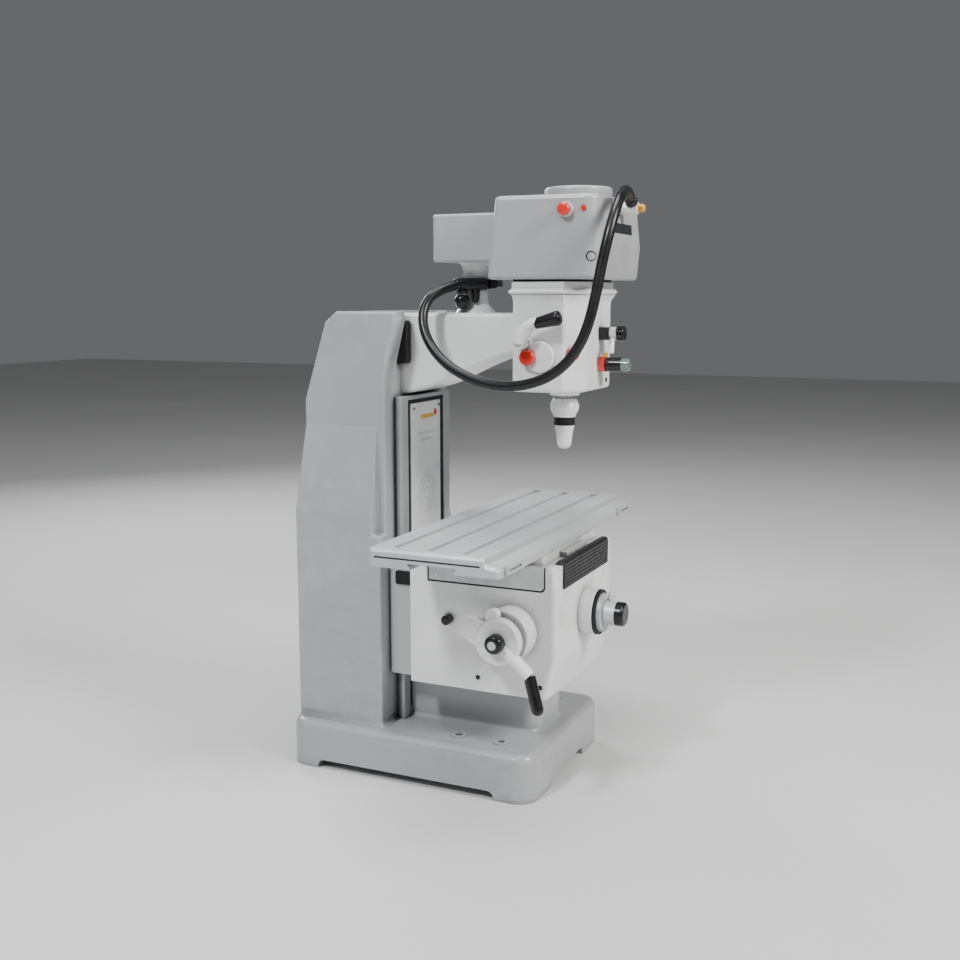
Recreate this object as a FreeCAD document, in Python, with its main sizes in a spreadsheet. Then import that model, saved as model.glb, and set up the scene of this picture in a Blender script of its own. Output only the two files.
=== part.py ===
import FreeCAD, Part
import math
import os
import Sketcher
from FreeCAD import Placement, Rotation, Vector

# Benchtop milling machine, in millimetres. +Z is up, +X is the operator's right and +Y points from the
# operator to the column. The origin is the middle of the base's footprint, on the bench.

os.makedirs("parts", exist_ok=True)
doc = FreeCAD.newDocument("milling_machine")
sheet = doc.addObject("Spreadsheet::Sheet", "Sizes")


class Size:
    """A length that carries its value and the sheet expression that it comes from."""

    def __init__(self, value, text):
        self.value = float(value)
        self.text = text

    def __float__(self):
        return self.value

    def __neg__(self):
        return Size(-self.value, f"(0 - {self.text})")

    def __add__(self, other):
        other = size(other)
        return Size(self.value + other.value, f"({self.text} + {other.text})")

    def __sub__(self, other):
        other = size(other)
        return Size(self.value - other.value, f"({self.text} - {other.text})")

    def __mul__(self, factor):
        return Size(self.value * factor, f"({self.text} * {factor:g})")

    def __truediv__(self, factor):
        return Size(self.value / factor, f"({self.text} / {factor:g})")

    __rmul__ = __mul__

    def __radd__(self, other):
        return size(other) + self

    def __rsub__(self, other):
        return size(other) - self


def size(number):
    """The number as a Size, unless it is one already."""
    return number if isinstance(number, Size) else Size(number, f"({float(number):.6g})")


class Sizes:
    """The driving dimensions, each a cell of the sheet with an alias."""

    def __init__(self, table):
        for row, (alias, value) in enumerate(table.items(), 1):
            sheet.set(f"A{row}", alias)
            sheet.set(f"B{row}", str(value))
            sheet.setAlias(f"B{row}", alias)
            setattr(self, alias, Size(value, f"Sizes.{alias}"))


d = Sizes(
    {
        # base and pedestal
        "base_wide": 296, "base_long": 396, "base_tall": 70, "base_corner": 30, "base_edge": 11,
        "base_wall": 22, "base_roof": 16, "foot_tall": 13, "arch_front": -141, "arch_back": 147,
        "arch_half": 66, "bolt_x": 105, "bolt_mid": -101.5, "bolt_pitch": 67, "bolt_hole": 5.5,
        "plinth_half": 55, "plinth_front": -170, "plinth_top": 160, "plinth_wall": 13,
        # column and slideway
        "column_half": 102, "foot_half": 120, "column_front": 51, "column_back": 195,
        "upper_back": 185, "shoulder_top": 515, "shoulder_low": 387, "column_top": 680,
        "column_wall": 14, "ledge": 357, "recess_deep": 13, "way_half": 79, "way_neck": 72,
        "way_front": 35, "way_top": 557, "slot_half": 59, "panel_half": 48, "panel_low": 84,
        "panel_top": 545, "fit_gap": 0.3,
        # arm and head
        "ram_half": 50, "ram_front": -142, "ram_top": 678, "head_half": 85, "head_front": -237,
        "head_low": 571, "head_top": 690, "head_cut": -216, "nose_half": 50, "spindle_y": -187,
        "ring_low": 703, "ring_high": 712, "ring_out": 8, "neck_top": 721, "housing_low": 724,
        # housing, rear box and motor post
        "housing_half": 96, "housing_top": 835, "housing_front": -268, "housing_back": -106,
        "housing_wall": 5, "cap_y": -204, "cap_round": 47, "cap_top": 850,
        "box_half": 48, "box_low": 750, "box_top": 817, "post_y": -47, "post_round": 18,
        "belt_low": 777, "belt_high": 788, "drive_round": 40, "motor_round": 22,
        # quill and spindle
        "quill_round": 18, "quill_low": 559, "quill_top": 668, "spindle_round": 8,
        "running_gap": 0.05,
        # controls on the head
        "lever_y": -161, "lever_z": 637, "pinion_round": 6.6, "lever_plane": -107,
        "selector_z": 607, "clamp_z": 650,
        # knee
        "knee_half": 118, "knee_front": -222, "knee_back": 3, "knee_low": 147, "knee_top": 335,
        "knee_chin": 204, "chin_in": 14, "knee_wall": 12, "jaw_half": 95, "jaw_back": 50,
        "crank_y": -156, "crank_z": 238, "bearing_round": 38, "shaft_round": 8,
        "screw_y": -120.5, "screw_round": 8, "cross_z": 249, "cross_high": 299, "cross_round": 6,
        # saddle and table
        "saddle_half": 105, "saddle_front": -198, "saddle_back": -25, "table_long": 540,
        "table_top": 376.5, "table_low": 352, "table_back": -15, "table_front": -181,
        "ledge_front": -203, "slot_wide": 8, "tee_wide": 14, "slot_pitch": 50,
        "hose_round": 7,
    }
)
doc.recompute()

nodes = {}
UP = Vector(0, 0, 1)
TURNS = {"x": Rotation(Vector(0, 1, 0), 90), "y": Rotation(Vector(1, 0, 0), -90), "z": Rotation()}


def add(kind, name="Piece"):
    return doc.addObject(kind, name)


def node(label, thing):
    """Names a finished sub-part."""
    thing.Label = label
    nodes[label] = thing
    return thing


def place(thing, x, y, z, turn=None):
    """Puts a piece at a point whose coordinates follow the sheet."""
    if turn is not None:
        thing.Placement = Placement(Vector(0, 0, 0), turn)
    for axis, at in zip("xyz", (x, y, z)):
        thing.setExpression(f"Placement.Base.{axis}", size(at).text)
    return thing


def box(x0, x1, y0, y1, z0, z1):
    made = add("Part::Box")
    for side, low, high in (("Length", x0, x1), ("Width", y0, y1), ("Height", z0, z1)):
        made.setExpression(side, (size(high) - low).text)
    return place(made, x0, y0, z0)


def wide(half, y0, y1, z0, z1):
    """A box that is symmetric about the machine's middle plane."""
    return box(-size(half), half, y0, y1, z0, z1)


def aside(hand, near, far, y0, y1, z0, z1):
    """A box on one side of the middle plane, from near to far away from it."""
    if hand > 0:
        return box(near, far, y0, y1, z0, z1)
    return box(-size(far), -size(near), y0, y1, z0, z1)


def along(axis, a, b, start):
    """The point at start along an axis, with a and b its other two coordinates in X, Y, Z order."""
    return {"x": (start, a, b), "y": (a, start, b), "z": (a, b, start)}[axis]


def rod(axis, a, b, start, end, radius):
    """A cylinder along one of the machine's axes."""
    made = add("Part::Cylinder")
    made.setExpression("Radius", size(radius).text)
    made.setExpression("Height", (size(end) - start).text)
    return place(made, *along(axis, a, b, start), TURNS[axis])


def taper(axis, a, b, start, end, first, last):
    """A truncated cone along one of the machine's axes."""
    made = add("Part::Cone")
    made.setExpression("Radius1", size(first).text)
    made.setExpression("Radius2", size(last).text)
    made.setExpression("Height", (size(end) - start).text)
    return place(made, *along(axis, a, b, start), TURNS[axis])


def ball(x, y, z, radius):
    made = add("Part::Sphere")
    made.setExpression("Radius", size(radius).text)
    return place(made, x, y, z)


def fuse(*pieces):
    made = add("Part::MultiFuse")
    made.Shapes = list(pieces)
    made.Refine = True
    return made


def group(*pieces):
    """Separate solids that share one node."""
    made = add("Part::Compound")
    made.Links = list(pieces)
    return made


def cut(base, *tools):
    made = add("Part::Cut")
    made.Base = base
    made.Tool = tools[0] if len(tools) == 1 else fuse(*tools)
    made.Refine = True
    return made


def common(first, second):
    made = add("Part::MultiCommon")
    made.Shapes = [first, second]
    return made


def rounded(base, radius, wanted, kind="Part::Fillet"):
    """Rounds or chamfers the edges that wanted(edge) picks."""
    doc.recompute()
    picked = [n for n, edge in enumerate(base.Shape.Edges, 1) if wanted(edge)]
    if not picked:
        raise ValueError(f"no edge to round on {base.Label}")
    made = add(kind)
    made.Base = base
    made.Edges = [(n, float(radius), float(radius)) for n in picked]
    return made


def runs(axis):
    """Picks straight edges along an axis."""
    way = {"x": Vector(1, 0, 0), "y": Vector(0, 1, 0), "z": UP}[axis]

    def wanted(edge):
        if edge.Curve.TypeId != "Part::GeomLine":
            return False
        return abs(edge.tangentAt(edge.FirstParameter).dot(way)) > 0.99

    return wanted


def at_height(z, slack=0.2):
    """Picks edges that lie wholly at one height."""

    def wanted(edge):
        bounds = edge.BoundBox
        return abs(bounds.ZMin - float(z)) < slack and abs(bounds.ZMax - float(z)) < slack

    return wanted


def is_round(edge):
    return edge.Curve.TypeId == "Part::GeomCircle"


def both(*tests):
    return lambda edge: all(test(edge) for test in tests)


def beyond(axis, low, high):
    """Picks edges whose middle lies between two values along an axis."""

    def wanted(edge):
        middle = edge.BoundBox.Center
        return float(low) < {"x": middle.x, "y": middle.y, "z": middle.z}[axis] < float(high)

    return wanted


PLANES = {"yz": ("YZ_Plane", 1), "xz": ("XZ_Plane", -1), "xy": ("XY_Plane", 1)}


def sketch_on(body, plane, corners):
    """A closed outline on a body's origin plane, each corner held by two dimensions."""
    role = PLANES[plane][0]
    sketch = body.newObject("Sketcher::SketchObject", "Outline")
    origin = [feature for feature in body.Origin.OriginFeatures if feature.Role == role][0]
    sketch.AttachmentSupport = [(origin, "")]
    sketch.MapMode = "FlatFace"
    points = [Vector(float(a), float(b), 0) for a, b in corners]
    for first, second in zip(points, points[1:] + points[:1]):
        sketch.addGeometry(Part.LineSegment(first, second))
    count = len(points)
    for n in range(count):
        sketch.addConstraint(Sketcher.Constraint("Coincident", n, 2, (n + 1) % count, 1))
    for n, corner in enumerate(corners):
        for kind, at in zip(("DistanceX", "DistanceY"), corner):
            held = Sketcher.Constraint(kind, -1, 1, n, 1, float(at))
            index = sketch.addConstraint(held)
            sketch.setExpression(f"Constraints[{index}]", size(at).text)
    return sketch


def prism(plane, corners, start, end):
    """A straight-sided outline extruded from start to end along the plane's normal axis."""
    body = add("PartDesign::Body")
    sketch = sketch_on(body, plane, corners)
    offset = start if PLANES[plane][1] > 0 else -size(end)
    sketch.setExpression("AttachmentOffset.Base.z", size(offset).text)
    pad = body.newObject("PartDesign::Pad", "Pad")
    pad.Profile = sketch
    pad.setExpression("Length", (size(end) - start).text)
    return body


def turned(axis, a, b, profile):
    """A turned piece about an axis: profile lists (distance along the axis, radius)."""
    body = add("PartDesign::Body")
    corners = [(radius, at) for at, radius in profile]
    sketch = sketch_on(body, "xz", corners)
    spin = body.newObject("PartDesign::Revolution", "Turning")
    spin.Profile = sketch
    spin.ReferenceAxis = (sketch, ["V_Axis"])
    spin.Angle = 360
    return place(body, *along(axis, a, b, 0), TURNS[axis])


def feature(shape):
    """A piece whose shape is made directly, from sizes read off the sheet."""
    made = add("Part::Feature")
    made.Shape = shape
    return made


def outline(half, back, cut_y, front, nose, grow=0):
    """The head's plan: a rectangle with its two front corners cut off."""
    return [
        (-(size(half) + grow), back), (size(half) + grow, back), (size(half) + grow, cut_y),
        (size(nose) + grow / 2, size(front) - grow), (-(size(nose) + grow / 2), size(front) - grow),
        (-(size(half) + grow), cut_y),
    ]


# ---------------------------------------------------------------- stand


def base_casting():
    half_x, half_y = d.base_wide / 2, d.base_long / 2
    block = rounded(wide(half_x, -half_y, half_y, 0, d.base_tall), d.base_corner, runs("z"))
    block = rounded(block, d.base_edge, at_height(d.base_tall))
    hollow = wide(half_x - d.base_wall, d.base_wall - half_y, half_y - d.base_wall, -1,
                  d.base_tall - d.base_roof)
    side_arch = wide(half_x + 1, d.arch_front, d.arch_back, -d.foot_tall, d.foot_tall)
    side_arch = rounded(side_arch, 10, both(at_height(d.foot_tall), runs("x")))
    front_arch = wide(d.arch_half, -half_y - 1, half_y + 1, -d.foot_tall, d.foot_tall)
    front_arch = rounded(front_arch, 10, both(at_height(d.foot_tall), runs("y")))
    block = cut(block, hollow, side_arch, front_arch)
    plinth = wide(d.plinth_half, d.plinth_front, d.way_front, d.base_tall - d.base_roof, d.plinth_top)
    plinth = rounded(plinth, 22, both(runs("z"), beyond("y", -400, -100)))
    block = fuse(block, plinth)
    block = rounded(block, 7, both(at_height(d.base_tall), beyond("x", -60, 60),
                                   beyond("y", -180, 30)))
    bore = d.plinth_wall
    inside = wide(d.plinth_half - bore, d.plinth_front + bore, d.way_front - bore,
                  d.base_tall - d.base_roof - 1, d.plinth_top - 12)
    nut_hole = rod("z", 0, d.screw_y, d.plinth_top - 20, d.plinth_top + 1, 13.6)
    tools = [inside, nut_hole]
    for side in (-1, 1):
        for end in (-1, 1):
            at = (d.bolt_x * side, d.bolt_mid + d.bolt_pitch / 2 * end)
            block = fuse(block, rod("z", *at, d.base_tall - 4, d.base_tall + 1.5, 12))
            tools.append(rod("z", *at, d.base_tall - d.base_roof - 1, d.base_tall + 2, d.bolt_hole))
    node("base_casting", cut(block, *tools))


def column_casting():
    side = [
        (d.column_front, d.base_tall), (d.column_back, d.base_tall), (d.column_back, d.shoulder_low),
        (d.upper_back, d.shoulder_top), (d.upper_back, 551), (149, 664), (130, d.column_top),
        (35, d.column_top), (33, 668), (47, 611), (d.column_front, 585),
    ]
    front = [
        (-d.column_half, 700), (-d.column_half, d.shoulder_top), (-d.foot_half, d.shoulder_low),
        (-d.foot_half, 60), (d.foot_half, 60), (d.foot_half, d.shoulder_low),
        (d.column_half, d.shoulder_top), (d.column_half, 700),
    ]
    shell = common(prism("yz", side, -d.foot_half, d.foot_half), prism("xz", front, 0, 200))
    tools = []
    for hand in (-1, 1):
        tools.append(aside(hand, d.column_half, d.foot_half + 1, d.column_front - 1,
                           d.column_front + d.recess_deep, d.ledge, d.shoulder_top + 5))
    pocket = wide(67, 20, d.column_front, 584, 690)
    wall = d.column_wall
    hollow = wide(d.column_half - wall, d.column_front + wall, d.upper_back - wall, 60, 560)
    node("column_casting", cut(shell, pocket, hollow, *tools))


def slideway():
    plan = [
        (-d.way_half, d.way_front), (d.way_half, d.way_front), (d.way_half, d.way_front + 5),
        (d.way_neck, d.column_front), (-d.way_neck, d.column_front), (-d.way_half, d.way_front + 5),
    ]
    way = prism("xy", plan, d.base_tall, d.way_top)
    slot = wide(d.slot_half, d.way_front - 1, d.way_front + 10, d.panel_low, d.panel_top + 6)
    node("column_way", cut(way, slot))
    panel = wide(d.panel_half, d.way_front + 0.5, d.way_front + 10, d.panel_low, d.panel_top)
    panel = rounded(panel, 2, beyond("y", 35, 36))
    lamp_hole = rod("y", 30, 527, d.way_front - 1, d.way_front + 6, 5.5)
    node("way_panel", cut(panel, lamp_hole))
    front, back = d.way_front + 3, d.way_front + 10
    strips = [aside(hand, d.panel_half, d.slot_half, front, back, d.panel_low, d.panel_top)
              for hand in (-1, 1)]
    top = wide(d.slot_half, front, back, d.panel_top, d.panel_top + 6)
    arms = [aside(hand, d.ram_half, 66.5, 45, d.column_front, 604, 668) for hand in (-1, 1)]
    node("column_seals", group(fuse(*strips, top), *arms))


def lift_nut():
    nut = turned("z", 0, d.screw_y, [(128, 8.1), (128, 13.5), (160, 13.5), (160, 20), (166, 20),
                                     (166, 8.1)])
    node("lift_nut", nut)


# ---------------------------------------------------------------- arm, head and drive


def ram():
    under = [(51, 557), (31.5, 563), (3.5, 571), (-29, 585), (-61, 600), (-92, 612), (-142, 627)]
    curve = Part.BSplineCurve()
    curve.interpolate([Vector(0, y, z) for y, z in under])
    top = float(d.ram_top)
    corners = [Vector(0, *under[-1]), Vector(0, float(d.ram_front), top),
               Vector(0, float(d.column_front), top), Vector(0, *under[0])]
    edges = [Part.LineSegment(a, b).toShape() for a, b in zip(corners, corners[1:])]
    face = Part.Face(Part.Wire([curve.toShape()] + edges))
    solid = face.extrude(Vector(2 * float(d.ram_half), 0, 0))
    solid.translate(Vector(-float(d.ram_half), 0, 0))
    long_edges = [edge for edge in solid.Edges if edge.BoundBox.YLength > 150]
    node("ram", feature(solid.makeFillet(6, long_edges)))


def button_axis():
    """The start button's place on the head's cut corner, and the way that corner faces."""
    corner = Vector(float(d.head_half - d.nose_half), float(d.head_front - d.head_cut), 0)
    return Vector(-73.6, -222.84, 625), Vector(corner.y, -corner.x, 0).normalize()


def head():
    plan = outline(d.head_half, d.ram_front, d.head_cut, d.head_front, d.nose_half)
    block = prism("xy", plan, d.head_low, d.head_top)
    block = rounded(block, 7, both(runs("z"), beyond("y", -400, -150)))
    block = rounded(block, 6, both(at_height(d.head_low), lambda edge: edge.BoundBox.YMin < -143))
    collar = taper("z", 0, d.spindle_y, d.head_low - 9, d.head_low + 2, 20.5, 27)
    bore = rod("z", 0, d.spindle_y, d.head_low - 20, d.head_top + 1, d.quill_round + d.running_gap)
    pad = fuse(rod("x", -182, 620, -91, -80, 21.5), rod("x", d.lever_y, d.lever_z - 1, -91, -80, 11))
    pad = rounded(pad, 2.5, beyond("x", -92, -90.5))
    pinion = rod("x", d.lever_y, d.lever_z, -25, 12, d.pinion_round + 0.6)
    shaft = rod("x", d.lever_y, d.lever_z, -d.head_half - 10, -20, 5.1)
    lock = rod("x", -166.5, 619, -92, -75, 5.1)
    middle, outward = button_axis()
    button = bar(middle - outward * 22, middle + outward * 2, 4.1)
    node("head_casting", cut(fuse(block, collar, pad), bore, pinion, shaft, lock, button))
    neck = prism("xy", plan, d.head_top, d.ring_low)
    ring = prism("xy", outline(d.head_half, d.ram_front + 4, d.head_cut, d.head_front, d.nose_half,
                               d.ring_out), d.ring_low, d.ring_high)
    ring = rounded(ring, 3.5, lambda edge: abs(edge.BoundBox.ZLength) < 1, "Part::Chamfer")
    plate = prism("xy", outline(d.head_half, d.ram_front + 1, d.head_cut, d.head_front, d.nose_half,
                                3), d.ring_high, d.neck_top)
    hub_hole = rod("z", 0, d.spindle_y, d.ring_low - 5, d.neck_top + 1, 14)
    relief = rod("z", 0, d.spindle_y, d.head_top - 1, d.ring_low - 5, 19)
    node("head_ring", cut(fuse(neck, ring, plate), hub_hole, relief))
    gasket = prism("xy", outline(d.head_half, d.ram_front, d.head_cut, d.head_front, d.nose_half),
                   d.neck_top, d.housing_low)
    node("housing_gasket", cut(gasket, rod("z", 0, d.spindle_y, 700, 730, 30)))


def housing_body():
    """The housing's outer shape, used also to trim the rear box."""
    side = [
        (d.housing_back, d.housing_low), (d.housing_back - 12, d.housing_top),
        (d.housing_front + 5, d.housing_top), (d.housing_front - 2, d.housing_top - 65),
        (d.housing_front + 2, d.housing_low),
    ]
    return prism("yz", side, -d.housing_half, d.housing_half)


def housing():
    shell = housing_body()
    steep = both(lambda edge: edge.BoundBox.ZLength > 30, beyond("y", -400, -200))
    shell = rounded(shell, 20, steep)
    shell = rounded(shell, 8, both(lambda edge: edge.BoundBox.ZLength > 30, beyond("y", -150, 0)))
    shell = rounded(shell, 7, at_height(d.housing_top))
    shell = rounded(shell, 6, at_height(d.housing_low))
    wall = d.housing_wall
    inner = wide(d.housing_half - wall - 3, d.housing_front + 16, d.housing_back - 20,
                 d.housing_low + wall, d.housing_top - wall - 1)
    hub = rod("z", 0, d.spindle_y, d.housing_low - 2, d.housing_low + 10, 30)
    belt_way = wide(41, d.housing_back - 30, d.housing_back + 2, d.belt_low - 8, d.belt_high + 8)
    window = box(-36, 46, d.housing_front - 5, d.housing_front + 3.5, 786, 800)
    mouth = rod("y", 0, 820, d.housing_front - 5, d.housing_front + 30, 6)
    button = rod("x", -221, 814.5, -d.housing_half - 1, -d.housing_half + 10, 5.2)
    lamp = rod("x", -246, 815.5, -d.housing_half - 1, -d.housing_half + 10, 3.5)
    plug = cut(rod("x", -256, 753.5, -d.housing_half - 1, -d.housing_half + 6, 6.8),
               rod("x", -256, 753.5, -d.housing_half + 1.5, -d.housing_half + 7, 5.2))
    node("belt_housing", cut(shell, inner, hub, belt_way, window, mouth, button, lamp, plug))
    cap = rod("z", 0, d.cap_y, d.housing_top, d.cap_top, d.cap_round)
    cap = rounded(cap, 4, at_height(d.cap_top))
    node("housing_cap", cap)
    glass = box(-35.5, 45.5, d.housing_front + 0.5, d.housing_front + 3.5, 786.5, 799.5)
    node("housing_window", glass)
    far_lamp = rod("y", 30, 527, d.way_front + 0.2, d.way_front + 6, 5.4)
    near_lamp = rod("x", -246, 815.5, -d.housing_half - 2, -d.housing_half + 10, 3.4)
    node("indicator_lamps", group(near_lamp, rounded(far_lamp, 1, beyond("y", 35, 35.4))))


def rear_box():
    block = wide(d.box_half, -120, 0, d.box_low, d.box_top)
    block = rounded(block, 6, both(runs("z"), beyond("y", -5, 5)))
    block = rounded(block, 4, both(at_height(d.box_top), lambda edge: edge.BoundBox.YMax > -119))
    block = rounded(block, 4, both(at_height(d.box_low), lambda edge: edge.BoundBox.YMax > -119))
    inner = wide(d.box_half - 5, -125, -6, d.box_low + 12, d.box_top - 5)
    shaft = rod("z", 0, d.post_y, d.box_low - 1, d.box_low + 14, 9)
    node("rear_housing", cut(block, housing_body(), inner, shaft))
    post = turned("z", 0, d.post_y, [
        (d.ram_top, 0), (d.ram_top, 30), (d.ram_top + 4, 27), (d.ram_top + 12, 20),
        (d.ram_top + 20, d.post_round), (d.box_low - 12, d.post_round), (d.box_low - 5, 20.5),
        (d.box_low, 24), (d.box_low, 9), (d.box_low - 6, 9), (d.box_low - 6, 13.5),
        (d.ram_top + 10, 13.5), (d.ram_top + 10, 0)])
    node("motor_post", post)
    rotor = turned("z", 0, d.post_y, [
        (d.ram_top + 11, 0), (d.ram_top + 11, 12.8), (d.box_low - 7, 12.8), (d.box_low - 7, 5),
        (d.belt_low - 3, 5), (d.belt_low - 3, d.motor_round + 3), (d.belt_low - 0.3, d.motor_round + 3),
        (d.belt_low - 0.3, d.motor_round - 0.3), (d.belt_high + 0.3, d.motor_round - 0.3),
        (d.belt_high + 0.3, d.motor_round + 3), (d.belt_high + 3, d.motor_round + 3),
        (d.belt_high + 3, 0)])
    node("motor_pulley", rotor)


def post_clamp():
    ring = rod("z", 0, d.post_y, 712, 726, 23)
    lug = box(-9, 9, -86, -66, 713, 725)
    lug = rounded(lug, 4, runs("x"))
    arm = add("Part::Cylinder")
    arm.Radius = 9
    arm.Height = 41
    arm.Placement = Placement(Vector(-8, -67, 719), Rotation(UP, Vector(-1, 1, 0)))
    collar = cut(fuse(ring, lug, arm), rod("z", 0, d.post_y, 700, 730, d.post_round))
    stem_hole = rod("z", -32, -40, 700, 716, 3.1)
    node("motor_clamp", cut(collar, stem_hole))
    stem = rod("z", -32, -40, 698, 714, 3)
    node("clamp_knob", fuse(ball(-32, -40, 693, 8.5), stem))


def hose_fitting():
    stub = rod("y", 0, 820, -291, d.housing_front + 2, 8.5)
    stub = rounded(stub, 2, beyond("y", -292, -290))
    tail = rod("y", 0, 820, d.housing_front, d.housing_front + 14, 5.9)
    riser = add("Part::Cylinder")
    riser.Radius = 7.5
    riser.Height = 12
    riser.Placement = Placement(Vector(0, -283, 820), Rotation(UP, Vector(-1, 0, 1)))
    node("hose_elbow", fuse(stub, tail, riser))
    tip = rod("y", 0, 820, -300, -291, 5.5)
    node("elbow_cap", rounded(tip, 3.5, beyond("y", -301, -299)))


# Corner points of the coolant hose, from the elbow on the housing round to the clamp on the post.
HOSE = [
    (-8.5, -283, 828.5), (-24, -284, 840), (-52, -287, 841), (-82, -290, 828), (-104, -290, 806),
    (-117, -287, 778), (-123, -281, 744), (-128, -276, 707), (-133, -269, 670), (-138, -258, 638),
    (-139, -235, 609), (-137, -200, 589), (-133, -150, 580), (-124, -96, 589), (-112, -46, 612),
    (-98, -12, 648), (-84, -2, 684), (-66, -14, 709), (-37, -38, 719),
]


def hose():
    points = [Vector(*point) for point in HOSE]
    edges = []
    last = points[0]
    radii = []
    for before, corner, after in zip(points, points[1:], points[2:]):
        inward = (corner - before).normalize()
        outward = (after - corner).normalize()
        half_turn = inward.getAngle(outward) / 2
        reach = 0.45 * min((corner - before).Length, (after - corner).Length)
        radii.append(reach / math.tan(half_turn))
        start, end = corner - inward * reach, corner + outward * reach
        bisector = (outward - inward).normalize()
        middle = corner + bisector * (radii[-1] / math.cos(half_turn) - radii[-1])
        edges.append(Part.LineSegment(last, start).toShape())
        edges.append(Part.Arc(start, middle, end).toShape())
        last = end
    edges.append(Part.LineSegment(last, points[-1]).toShape())
    path = Part.Wire(edges)
    ring = Part.Circle(points[0], points[1] - points[0], float(d.hose_round)).toShape()
    tube = path.makePipeShell([Part.Wire([ring])], True, True)
    section = math.pi * float(d.hose_round) ** 2
    print("hose radii", [round(radius) for radius in radii], "length", round(path.Length, 1),
          "volume ratio", round(tube.Volume / (section * path.Length), 4))
    node("coolant_hose", feature(tube))


def drive():
    gap = d.running_gap
    pulley = turned("z", 0, d.spindle_y, [
        (d.ring_low - 5, d.spindle_round + gap), (d.ring_low - 5, 13.9), (d.belt_low - 20, 13.9),
        (d.belt_low - 20, 18), (d.belt_low - 3, 18), (d.belt_low - 3, d.drive_round + 3),
        (d.belt_low - 0.3, d.drive_round + 3), (d.belt_low - 0.3, d.drive_round - 0.3),
        (d.belt_high + 0.3, d.drive_round - 0.3), (d.belt_high + 0.3, d.drive_round + 3),
        (d.belt_high + 3, d.drive_round + 3), (d.belt_high + 3, d.spindle_round + gap)])
    node("drive_pulley", pulley)
    big, small = float(d.drive_round), float(d.motor_round)
    span = float(d.post_y) - float(d.spindle_y)
    lean = math.asin((big - small) / span)
    low, high = float(d.belt_low), float(d.belt_high)

    def loop(extra):
        turn_big, turn_small = big + extra, small + extra
        spots = []
        for side in (-1, 1):
            spots.append((side * turn_big * math.cos(lean), turn_big * math.sin(lean)))
            spots.append((side * turn_small * math.cos(lean), span + turn_small * math.sin(lean)))
        (ax, ay), (bx, by), (cx, cy), (dx, dy) = spots
        near_a, far_a = Vector(ax, ay, low), Vector(bx, by, low)
        near_b, far_b = Vector(cx, cy, low), Vector(dx, dy, low)
        edges = [Part.LineSegment(near_a, far_a), Part.Arc(far_a, Vector(0, span + turn_small, low), far_b),
                 Part.LineSegment(far_b, near_b), Part.Arc(near_b, Vector(0, -turn_big, low), near_a)]
        return Part.Face(Part.Wire([edge.toShape() for edge in edges]))

    belt = loop(2.5).cut(loop(0)).extrude(Vector(0, 0, high - low))
    belt.translate(Vector(0, float(d.spindle_y), 0))
    node("drive_belt", feature(belt))


def quill():
    y = d.spindle_y
    body = cut(rod("z", 0, y, d.quill_low, d.quill_top, d.quill_round),
               rod("z", 0, y, d.quill_low - 1, d.quill_low + 14, 14),
               rod("z", 0, y, d.quill_top - 14, d.quill_top + 1, 14),
               rod("z", 0, y, d.quill_low, d.quill_top, 10))
    rack = box(-6, 6, y + d.quill_round - 0.4, y + d.quill_round + 5, d.quill_low - 5, d.quill_top + 5)
    node("quill", cut(body, rack))
    bore = d.spindle_round + d.running_gap
    low = cut(rod("z", 0, y, d.quill_low, d.quill_low + 14, 14), rod("z", 0, y, 500, 700, bore))
    high = cut(rod("z", 0, y, d.quill_top - 14, d.quill_top, 14), rod("z", 0, y, 500, 700, bore))
    node("quill_bearings", group(low, high))
    shaft = cut(rod("z", 0, y, 531, 801, d.spindle_round), rod("z", 0, y, 500, 810, 3.2))
    node("spindle", shaft)
    node("drawbar", fuse(rod("z", 0, y, 540, 801, 3), rod("z", 0, y, 801, 808, 6)))
    nut = turned("z", 0, y, [
        (558.5, 8), (558.5, 16.5), (554, 18.5), (547, 21.2), (541, 20), (535, 16.8), (531, 15.6),
        (531, 8)])
    node("collet_nut", nut)
    node("nose_ring", turned("z", 0, y, [(531, 0), (531, 15), (519.5, 15), (519.5, 0)]))
    tip = turned("z", 0, y, [
        (519.5, 0), (519.5, 14.2), (514, 13.6), (510, 12.2), (494, 10.6), (488.5, 9), (485.5, 5.5),
        (484.6, 0)])
    node("tool_holder", tip)


# ---------------------------------------------------------------- controls on the head


def feed_lever():
    y, z, plane = d.lever_y, d.lever_z, d.lever_plane
    shaft = rod("x", y, z, -101, -22, 5)
    pinion = rod("x", y, z, -22, 11, d.pinion_round)
    node("feed_pinion", fuse(shaft, pinion))
    hub = cut(rod("x", y, z, plane - 7, -92, 7), rod("x", y, z, -101, -90, 5))
    arm = bar((plane, y, z), (plane, -178, 664), 6)
    node("feed_lever", fuse(hub, arm, ball(plane, -178, 664, 7.5)))
    grip = add("Part::Cone")
    grip.Radius1 = 7.5
    grip.Radius2 = 10.8
    grip.Height = 37
    start = Vector(float(plane), -184, 665.5)
    grip.Placement = Placement(start, Rotation(UP, Vector(0, -36, 8.5)))
    doc.recompute()
    grip = rounded(grip, 5.5, both(beyond("y", -400, -205), is_round))
    node("feed_grip", grip)
    node("lock_knob", fuse(rounded(rod("x", -166.5, 619, -99, -91.3, 11), 3.5, beyond("x", -100, -98.5)),
                           rod("x", -166.5, 619, -91.5, -86, 5)))


def bar(start, end, radius):
    """A round bar between two points."""
    a, b = (Vector(*(float(v) for v in point)) for point in (start, end))
    made = add("Part::Cylinder")
    made.Radius = float(radius)
    made.Height = (b - a).Length
    made.Placement = Placement(a, Rotation(UP, b - a))
    return made


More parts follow.
